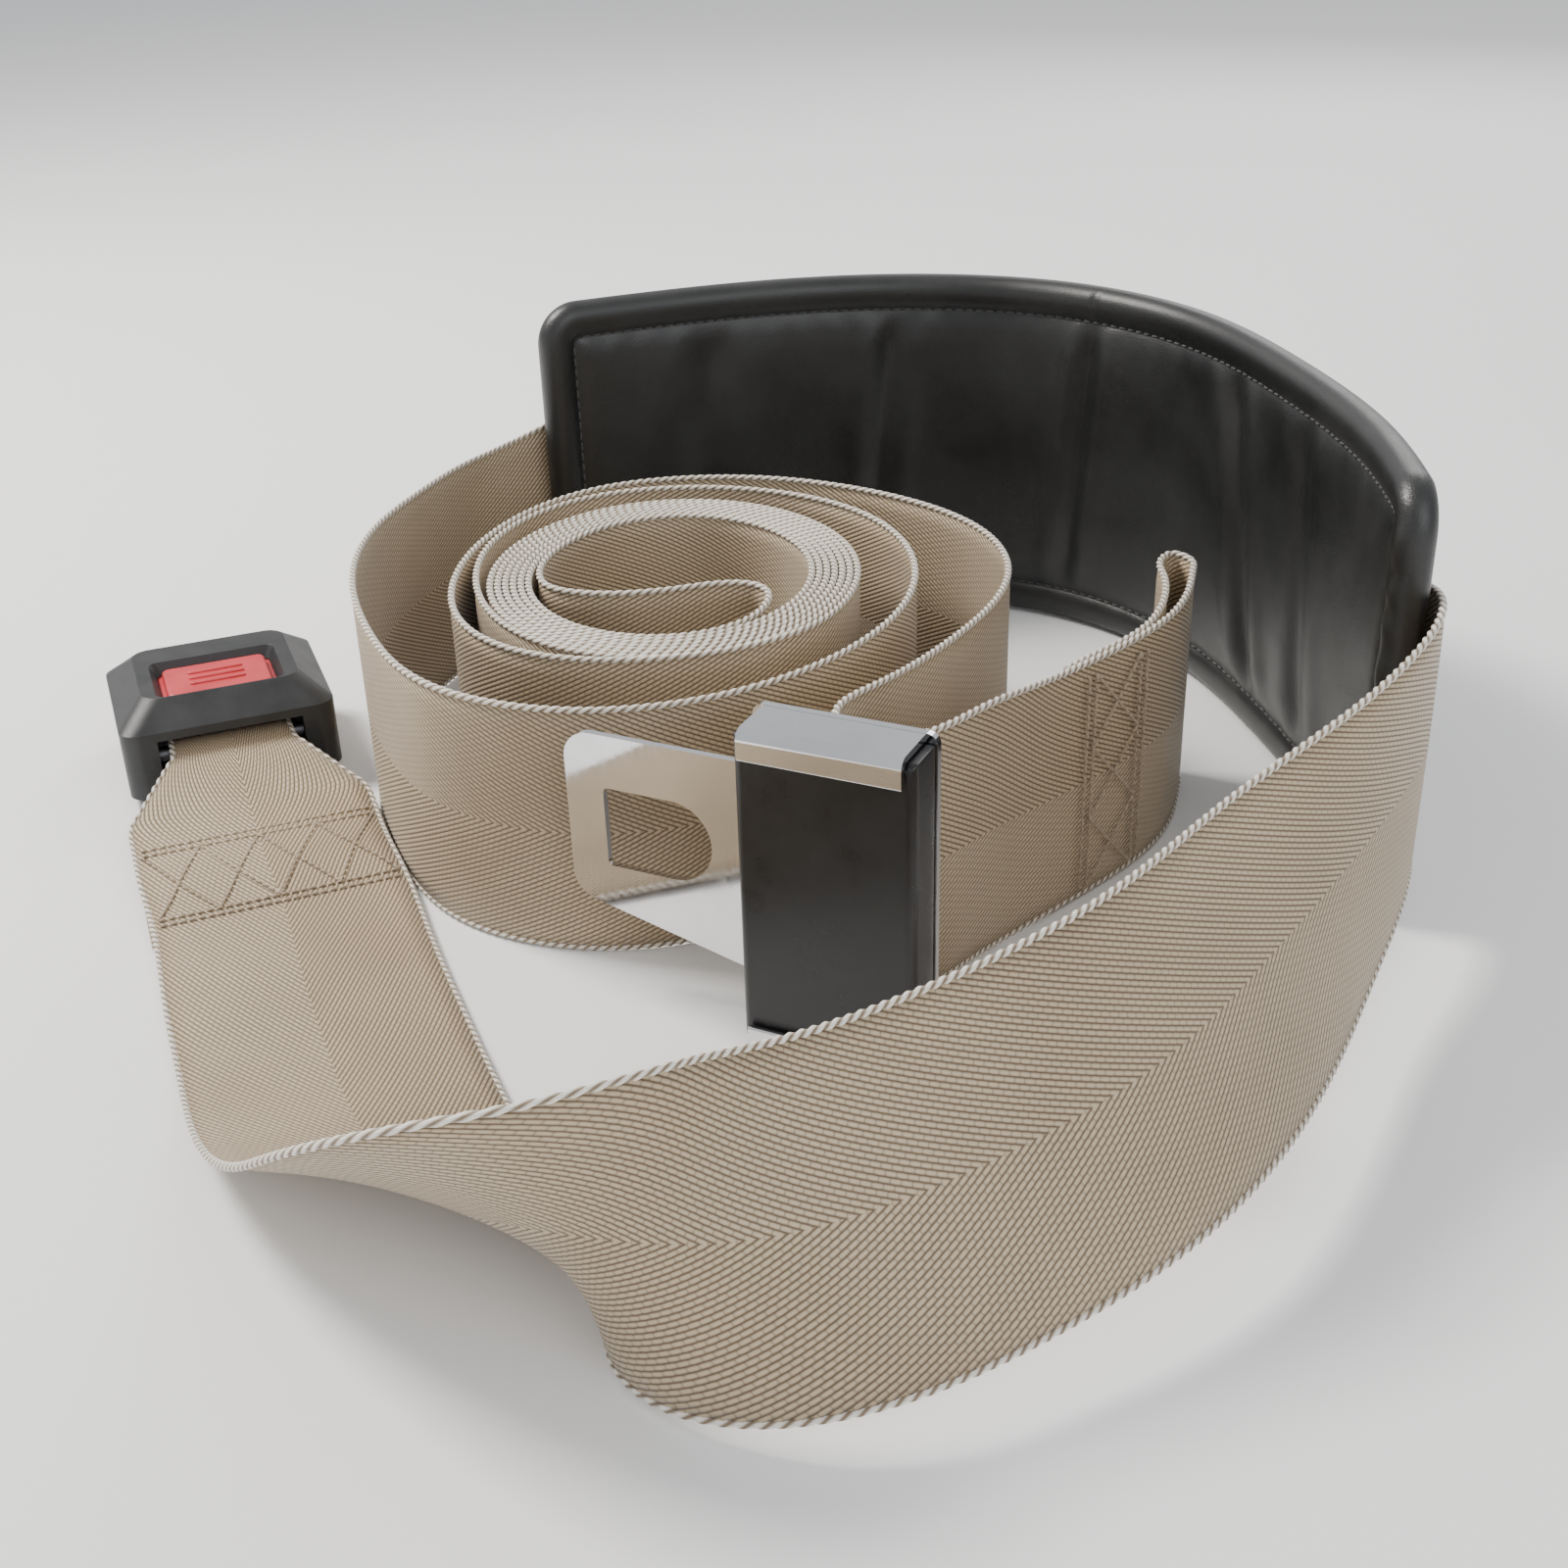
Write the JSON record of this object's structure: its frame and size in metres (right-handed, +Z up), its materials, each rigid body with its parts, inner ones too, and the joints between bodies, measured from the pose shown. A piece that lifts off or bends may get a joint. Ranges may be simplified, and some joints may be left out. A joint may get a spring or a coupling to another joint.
{
  "type": "gait belt",
  "caption": "Gait belt of wide webbing lying rolled up, with a padded back support, a press-release buckle and an adjustable latch tongue.",
  "frame": {"origin": "middle of the footprint of the belt as it lies, on the surface that it lies on", "axes": "+Z up; +Y is the long way of the footprint, from the front strap span towards the padded back support; the buckle is on the -X side"},
  "size_m": [0.4052, 0.4455, 0.127],
  "materials": {
    "webbing": "satin twill",
    "pad_cover": "smooth black leatherette",
    "foam": "open foam",
    "housing_plastic": "spark-eroded grain",
    "button_plastic": "satin",
    "ejector_plastic": "satin",
    "cover_plastic": "semi-gloss",
    "chrome_steel": "polished chrome",
    "zinc_steel": "zinc plated"
  },
  "bodies": {
    "belt": {"strap_buckle_end": "webbing", "strap_flat_span": "webbing", "strap_diagonal_fold": "webbing", "strap_front_span": "webbing", "strap_pad_span": "webbing", "strap_left_loop": "webbing", "coil_outer_turn_a": "webbing", "coil_outer_turn_b": "webbing", "coil_core": "webbing", "coil_inner_fold": "webbing", "strap_bar_wrap": "webbing", "strap_tail": "webbing", "strap_pull_tab": "webbing", "pad_front_cover": "pad_cover", "pad_foam_core": "foam", "pad_back_cover": "pad_cover", "pad_back_sleeve": "pad_cover"},
    "buckle_case": {"buckle_upper_housing": "housing_plastic", "buckle_lower_housing": "housing_plastic", "buckle_housing_screws": "zinc_steel", "buckle_steel_frame": "zinc_steel", "buckle_anchor_bar": "zinc_steel", "buckle_latch_pin": "zinc_steel", "buckle_latch_springs": "zinc_steel", "buckle_ejector_spring": "zinc_steel"},
    "press_button": {"buckle_press_button": "button_plastic"},
    "latch": {"buckle_latch": "zinc_steel"},
    "ejector": {"buckle_ejector": "ejector_plastic"},
    "slide": {"tongue_slide_bar": "zinc_steel", "tongue_slide_cover": "cover_plastic"},
    "latch_plate": {"tongue_latch_plate": "chrome_steel"}
  },
  "joints": [
    {"name": "buckle_swing", "type": "hinge", "parent": "belt", "child": "buckle_case", "pos_m": [-0.15404, 0.07039, 0.015], "axis": [0.9336, 0.3584, 0], "range_deg": [0, 20]},
    {"name": "button_press", "type": "slide", "parent": "buckle_case", "child": "press_button", "axis": [0, 0, -1], "range_m": [0, 0.0035], "stiffness_N_per_m": 900, "springref_m": -0.002, "deforming": ["buckle_latch_springs"]},
    {"name": "latch_pivot", "type": "hinge", "parent": "buckle_case", "child": "latch", "pos_m": [-0.16138, 0.08953, 0.018], "axis": [0.9336, 0.3584, 0], "range_deg": [0, 18.01]},
    {"name": "ejector_slide", "type": "slide", "parent": "buckle_case", "child": "ejector", "axis": [0.3584, -0.9336, 0], "range_m": [0, 0.008], "stiffness_N_per_m": 400, "springref_m": -0.003, "deforming": ["buckle_ejector_spring"]},
    {"name": "adjuster_swing", "type": "hinge", "parent": "belt", "child": "slide", "pos_m": [0.03838, -0.08901, 0.046], "axis": [0, 0, 1], "range_deg": [-5, 8]},
    {"name": "slide_travel", "type": "slide", "parent": "slide", "child": "latch_plate", "axis": [0.8988, -0.4384, 0], "range_m": [-0.003, 0.003]}
  ],
  "couplings": [
    {"joint": "latch_pivot", "follows": "button_press", "rad_per_m": 89.76}
  ]
}
